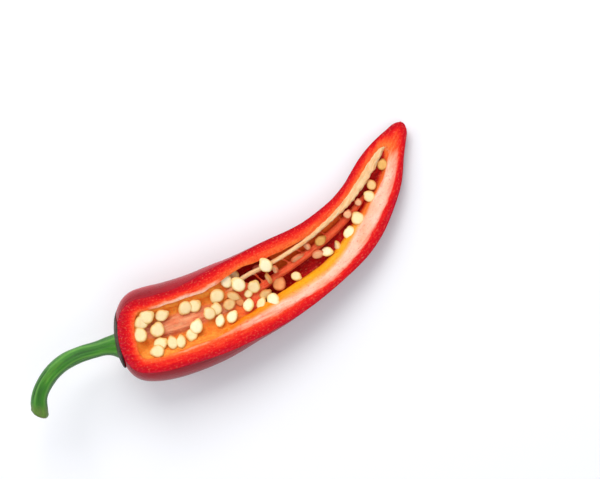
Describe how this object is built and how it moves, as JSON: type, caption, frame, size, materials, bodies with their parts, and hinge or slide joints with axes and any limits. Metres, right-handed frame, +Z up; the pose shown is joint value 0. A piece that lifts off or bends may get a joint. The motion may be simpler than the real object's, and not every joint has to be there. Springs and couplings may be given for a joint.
{
  "type": "chilli pepper",
  "caption": "Red chilli pepper cut lengthwise, lying on its rounded back with the cut face up: open pod, seed core, loose seeds, calyx and curved green stem.",
  "frame": {"origin": "centre of the bounding box, on the surface that the half lies on", "axes": "+X from the stem to the tip along the longest extent, +Z up out of the surface, +Y to the left of +X"},
  "size_m": [0.1316, 0.0342, 0.0236],
  "materials": {
    "flesh": "waxy gloss skin, moist cut flesh",
    "core": "moist, fibrous",
    "seed": "smooth, slightly waxy",
    "calyx": "dry, matte",
    "stem": "satin, ridged"
  },
  "bodies": {
    "root": {"pod": "flesh", "placenta": "core", "calyx": "calyx", "stem": "stem", "seed_01": "seed", "seed_02": "seed", "seed_03": "seed", "seed_04": "seed", "seed_05": "seed", "seed_06": "seed", "seed_07": "seed", "seed_08": "seed", "seed_09": "seed", "seed_10": "seed", "seed_11": "seed", "seed_12": "seed", "seed_13": "seed", "seed_14": "seed", "seed_15": "seed", "seed_16": "seed", "seed_17": "seed", "seed_18": "seed", "seed_19": "seed", "seed_20": "seed", "seed_21": "seed", "seed_22": "seed", "seed_23": "seed", "seed_24": "seed", "seed_25": "seed", "seed_26": "seed", "seed_27": "seed", "seed_28": "seed", "seed_29": "seed", "seed_30": "seed", "seed_31": "seed", "seed_32": "seed", "seed_33": "seed", "seed_34": "seed", "seed_35": "seed", "seed_36": "seed", "seed_37": "seed", "seed_38": "seed", "seed_39": "seed", "seed_40": "seed", "seed_41": "seed", "seed_42": "seed", "seed_43": "seed", "seed_44": "seed", "seed_45": "seed", "seed_46": "seed", "seed_47": "seed", "seed_48": "seed", "seed_49": "seed"}
  },
  "joints": []
}
